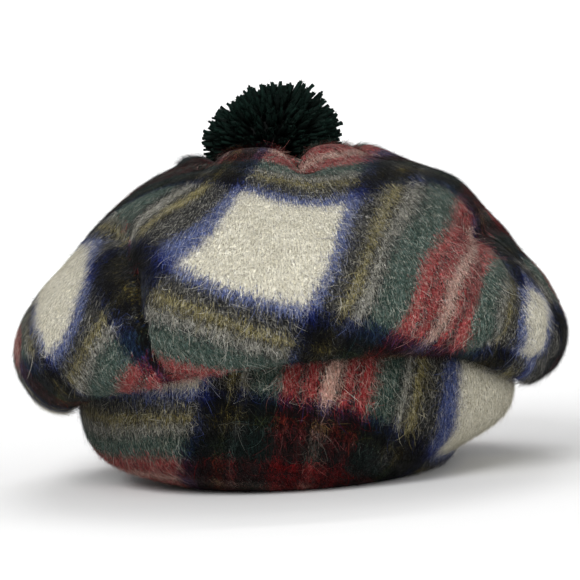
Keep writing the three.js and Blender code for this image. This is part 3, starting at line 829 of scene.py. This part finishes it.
def under_lay(marks):
    """One direction of the ring's cloth: an even slant through the marks, eased to meet them."""
    turn, high, want = np.array(marks, float).T
    x = np.radians(turn) * UNDER_ROUND
    y = np.interp(high, heights, under_run)
    even = np.stack([x, y, np.ones_like(x)], -1)
    slant = np.linalg.lstsq(even, want, rcond=None)[0]
    near = np.exp(-((x[:, None] - x) ** 2 + (y[:, None] - y) ** 2) / (2 * UNDER_REACH**2))
    weight = np.linalg.solve(near + UNDER_EASE * np.eye(len(x)), want - even @ slant)

    def place(px, py):
        value = slant[0] * px + slant[1] * py + slant[2]
        for mx, my, w in zip(x, y, weight):
            value = value + w * np.exp(-((px - mx) ** 2 + (py - my) ** 2) / (2 * UNDER_REACH**2))
        return value

    return place


part = np.linspace(-180, 180, UNDER_GRID["turns"] + 1)
ring_turn, ring_run = np.meshgrid(part, np.linspace(0, under_run[-1], UNDER_GRID["rows"] + 1))
under_points = under_surface(ring_turn, ring_run)
under_points[:, -1] = under_points[:, 0]
ring_across = np.radians(ring_turn) * UNDER_ROUND
under_map = np.stack([under_lay(marks)(ring_across, ring_run) for marks in (UNDER_ACROSS, UNDER_ALONG)], -1)
under_grain = np.stack([ring_across, ring_run], -1)
under = grid_piece("under_crown_cloth", under_points, under_map, under_grain, np.ones_like(ring_run), CLOTH)
# Painted shade: the under-crown has the crown's cloth, darkened more strongly (deep 1.28 against 1.06) for
# the shade under the crown's lip.
under.data.materials.append(cloth_material("under_cloth", deep=1.28))
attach(under, "root")
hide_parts("under_crown")

# The under-crown's nap: the same wool fibres, brushed up out of the ring's own cloth. They
# start just above the turned-in hem and stop below the seam.
UNDER_NAP = [
    ("under_nap_front", 0, (42000, 7.5, 0.15, 0.6, 34, 2)),
    ("under_nap_back", 180, (13000, 7.0, 0.22, 0.5, 36, 2)),
    ("under_hairs", None, (6000, 13.0, 0.11, 1.0, 50, 5)),
]
UNDER_NAP_FROM, UNDER_NAP_TO = 3, 76
# Painted shade: the under-crown's fibres and hairs are darkened more strongly than the crown's, for the shade
# under the crown's lip.
under_fibre = nap_material("under_nap", deep=1.28, lean=0.5)
under_hair = nap_material("under_hairs", deep=1.15, lean=0.8)
ring_cell = (ring_turn[:-1, :-1] + ring_turn[1:, 1:]) / 2
high_cell = (under_points[:-1, :-1, 2] + under_points[1:, 1:, 2]) / 2
for number, (name, middle_turn, sizes) in enumerate(UNDER_NAP):
    chosen = (high_cell > UNDER_NAP_FROM) & (high_cell < UNDER_NAP_TO)
    if middle_turn is not None:
        chosen &= np.abs(turn_gap(ring_cell, middle_turn)) <= 90
    piece = nap(name, under_points, under_map, chosen, [], **dict(zip(NAP_COLUMNS, sizes)), seed=number + 11)
    piece.data.materials.append(under_hair if name == "under_hairs" else under_fibre)
    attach(piece, "root")

# The pompom: woollen yarn wound into a bundle, tied hard round the middle, cut and trimmed to
# a ball, then sewn down into the crown's dimple by its tie. The cut ends fan out and fray.
POMPOM = {"middle": (-4.7, 0.0, 178.0), "core": 24.0, "tied": 19.0, "tip": 36.6}
YARNS = {"count": 1700, "radius": 1.15, "sides": 5, "twist": 1.1, "flat": 0.22, "tufts": 170}
YARN_TAPER = (0.8, 0.9, 1, 1.05, 1.1, 0.75)
YARN_FREE = (-0.1, 0.35)
WAVER_HELD, WAVER_FREE = 0.3, 0.9
TIP_UNEVEN, TIP_LIMITS = (0.6, 1.1), (-3.5, 4.0)
TUFT_PULL, TUFT_UNEVEN = 0.38, 1.5
POMPOM_COLUMNS = ("x", "y", "z", "half_turn", "swell")
POMPOM_LUMPS = [
    (-0.45, -0.2, 0.87, 38, -5.5), (0.2, -0.1, 0.97, 30, -0.6), (0.8, -0.2, 0.56, 36, 2.0),
    (-0.9, -0.3, 0.2, 30, 1.0),
]
FRAY = {"count": 12000, "length": 3.6, "wide": 0.2, "spread": 0.55, "down": 5}
FRAY_TAPER = (1, 0.9, 0.3)


def spread_out(count, rng, jitter):
    """Directions spread evenly over a ball, each moved a little."""
    order = np.arange(count) + 0.5
    polar = np.arccos(1 - 2 * order / count)
    golden = np.pi * (1 + 5**0.5) * order
    way = np.stack([np.sin(polar) * np.cos(golden), np.sin(polar) * np.sin(golden), np.cos(polar)], -1)
    return unit(way + rng.normal(0, jitter, way.shape))


def unit(way):
    return way / np.linalg.norm(way, axis=-1, keepdims=True)


rng = np.random.default_rng(21)
count, sides, rings = YARNS["count"], YARNS["sides"], len(YARN_TAPER)
way = spread_out(count, rng, jitter=0.03)
tuft_way = spread_out(YARNS["tufts"], rng, jitter=0.06)
tuft_long = rng.normal(0, TUFT_UNEVEN, YARNS["tufts"])
tuft = np.argmax(way @ tuft_way.T, axis=1)
lean = unit((1 - TUFT_PULL) * way + TUFT_PULL * tuft_way[tuft])
free = smooth(*YARN_FREE, way[:, 2])[:, None]
uneven = tuft_long[tuft][:, None] + rng.normal(*TIP_UNEVEN, (count, 1))
tip = POMPOM["tip"] + free * uneven.clip(*TIP_LIMITS)
for row in POMPOM_LUMPS:
    lump = dict(zip(POMPOM_COLUMNS, row))
    toward = unit(np.array([lump["x"], lump["y"], lump["z"]]))
    turned = np.degrees(np.arccos(np.clip(way @ toward, -1, 1)))
    tip[:, 0] += lump["swell"] * np.exp(-((turned / lump["half_turn"]) ** 2))
bend = lean * tip - way * tip
bend += (WAVER_FREE * free + WAVER_HELD) * rng.normal(0, 1, way.shape)
start = POMPOM["tied"]
steps = np.linspace(0, 1, rings)
line = np.stack([way * (start + (tip - start) * s) + bend * s * s for s in steps], 1)
ahead = unit(np.gradient(line, axis=1))
helper = np.where(np.abs(way[:, 2:3]) < 0.8, (0, 0, 1), (1, 0, 0))[:, None]
one = unit(np.cross(ahead, helper))
two = np.cross(ahead, one)
taper = np.array(YARN_TAPER)[None, :, None, None]
thick = YARNS["radius"] * rng.uniform(0.8, 1.2, (count, 1, 1, 1)) * taper
twist = rng.uniform(0, 2 * np.pi, (count, 1, 1, 1)) + YARNS["twist"] * np.arange(rings)[None, :, None, None]
around = np.arange(sides)[None, None, :, None] * 2 * np.pi / sides + twist
lobes = 1 + YARNS["flat"] * np.cos(2 * (around - twist))
outward = np.cos(around) * one[:, :, None] + np.sin(around) * two[:, :, None]
verts = (line[:, :, None] + thick * lobes * outward).reshape(-1, 3)
first = (np.arange(count) * rings * sides)[:, None, None] + (np.arange(rings - 1) * sides)[None, :, None]
here = np.arange(sides)[None, None]
beside = (np.arange(sides) + 1) % sides
above = first + sides
quads = np.stack([first + here, first + beside, above + beside, above + here], -1).reshape(-1, 4)
reach = np.repeat(np.tile(np.repeat(steps, sides), count)[:, None], 2, axis=1)
shade = np.repeat(rng.random(count), rings * sides)
place = np.array(POMPOM["middle"]) + RIM_MIDDLE
pompom = strands_mesh("pompom_yarn", (verts + place) / 1000, [quads], reach, shade)

ends = rng.choice(count, FRAY["count"])
up = unit(way[ends] + rng.normal(0, FRAY["spread"], (FRAY["count"], 3)))
foot = line[ends, -1] - way[ends] * rng.uniform(0, FRAY["down"], (FRAY["count"], 1))
across = unit(np.cross(up, rng.normal(0, 1, up.shape)))
long = FRAY["length"] * rng.uniform(0.3, 0.9, (FRAY["count"], 1)) * (0.3 + 0.7 * free[ends])
hair = np.stack([foot + up * long * s for s in (0, 0.5, 1)], 1)
half = FRAY["wide"] / 2 * np.array(FRAY_TAPER)[None, :, None]
verts = np.stack([hair - across[:, None] * half, hair + across[:, None] * half], 2).reshape(-1, 3)
each = 2 * len(FRAY_TAPER)
first = (np.arange(FRAY["count"]) * each)[:, None] + np.arange(len(FRAY_TAPER) - 1)[None] * 2
quads = np.stack([first, first + 1, first + 3, first + 2], -1).reshape(-1, 4)
tips = np.ones((FRAY["count"] * each, 2))
shade = np.repeat(rng.random(FRAY["count"]), each)
fray = strands_mesh("pompom_fray", (verts + place) / 1000, [quads], tips, shade)

bpy.ops.object.select_all(action="DESELECT")
core_size = POMPOM["core"] / 1000
bpy.ops.mesh.primitive_uv_sphere_add(segments=32, ring_count=20, radius=core_size, location=place / 1000)
core = bpy.context.object
core.name = "pompom_core"
bpy.ops.object.transform_apply(location=True, rotation=True, scale=True)
bpy.ops.object.shade_smooth()

yarn = bpy.data.materials.new("pompom_yarn")
yarn.use_nodes = True
tree = yarn.node_tree
shader = tree.nodes["Principled BSDF"]
own = node(tree, "ShaderNodeUVMap", uv_map="cloth")
split = node(tree, "ShaderNodeSeparateXYZ")
tree.links.new(own.outputs["UV"], split.inputs["Vector"])
# Painted shade: each yarn runs from near black where it is tied to its own green at the cut tips, for the
# shade deep inside the ball.
fade = node(tree, "ShaderNodeValToRGB")
fade.color_ramp.elements[0].position = 0.35
fade.color_ramp.elements[0].color = (0.0006, 0.0022, 0.0016, 1)
fade.color_ramp.elements[1].position = 1
fade.color_ramp.elements[1].color = (0.0036, 0.0116, 0.0086, 1)
tree.links.new(split.outputs["X"], fade.inputs[0])
pick = node(tree, "ShaderNodeAttribute", attribute_name="pick")
toned = mixed(tree, "MULTIPLY", 1, fade.outputs[0], remap(tree, pick.outputs["Fac"], 0, 1, 0.5, 1.5))
tree.links.new(toned, shader.inputs["Base Color"])
shader.inputs["Roughness"].default_value = 0.85
shader.inputs["Specular IOR Level"].default_value = 0.1
# Painted shade: the core inside the ball is near black, darker than the yarn, for the shade in the pompom's
# heart.
heart = bpy.data.materials.new("pompom_heart")
heart.use_nodes = True
heart.node_tree.nodes["Principled BSDF"].inputs["Base Color"].default_value = (0.0008, 0.0026, 0.002, 1)
heart.node_tree.nodes["Principled BSDF"].inputs["Roughness"].default_value = 1
core.data.materials.append(heart)
for piece in (pompom, fray):
    piece.data.materials.append(yarn)
for piece in (pompom, fray, core):
    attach(piece, "root")
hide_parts("pompom")

size = {"cad": cad_bounds, "visual": [list(corner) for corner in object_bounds()]}
